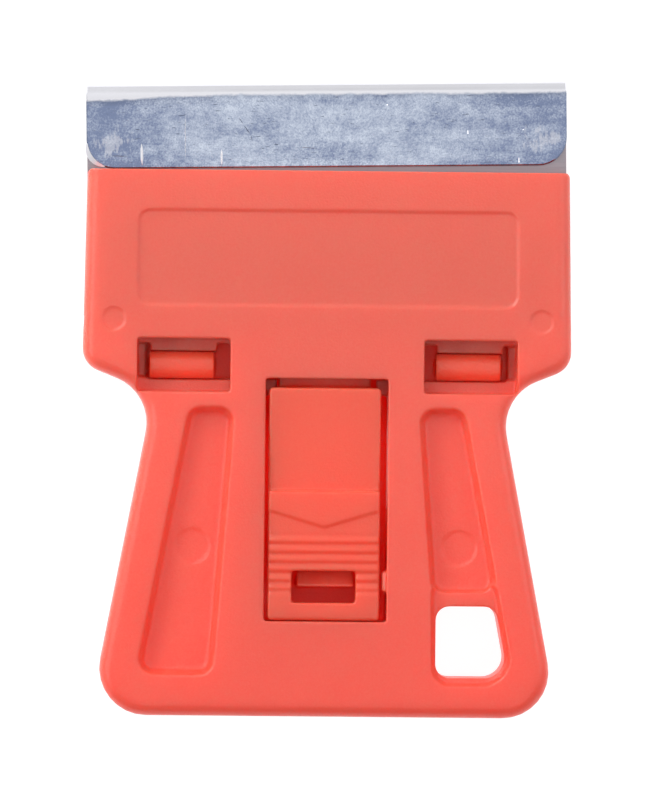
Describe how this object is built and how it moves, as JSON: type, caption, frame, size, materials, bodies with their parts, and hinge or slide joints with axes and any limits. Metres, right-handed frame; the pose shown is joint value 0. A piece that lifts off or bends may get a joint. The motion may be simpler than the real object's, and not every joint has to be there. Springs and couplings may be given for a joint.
{
  "type": "razor blade scraper",
  "caption": "Flat pocket scraper: moulded handle with a hanging hole, a rocking lever whose jaw clamps the back of the head, and a folded-back blade stored edge inwards.",
  "frame": {"origin": "middle of the outer box, on the plane of the flat back that the scraper lies on", "axes": "+X across the blade, +Y from the handle's end towards the blade, +Z out of the front face"},
  "size_m": [0.0396, 0.0518, 0.007],
  "materials": {
    "moulded_plastic": "coral red polypropylene, fine satin texture",
    "blade_steel": "bright rolled steel with a ground edge",
    "spine_aluminium": "bare folded sheet, scuffed"
  },
  "bodies": {
    "body": {"body": "moulded_plastic"},
    "clamp_lever": {"clamp_lever": "moulded_plastic"},
    "blade": {"blade": "blade_steel", "blade_spine": "spine_aluminium"}
  },
  "joints": [
    {"name": "lever_hinge", "type": "hinge", "parent": "body", "child": "clamp_lever", "pos_m": [0, 0.00255, 0.0044], "axis": [-1, 0, 0], "range_deg": [0, 14]},
    {"name": "blade_slide", "type": "slide", "parent": "body", "child": "blade", "axis": [0, 1, 0], "range_m": [0, 0.014]}
  ]
}
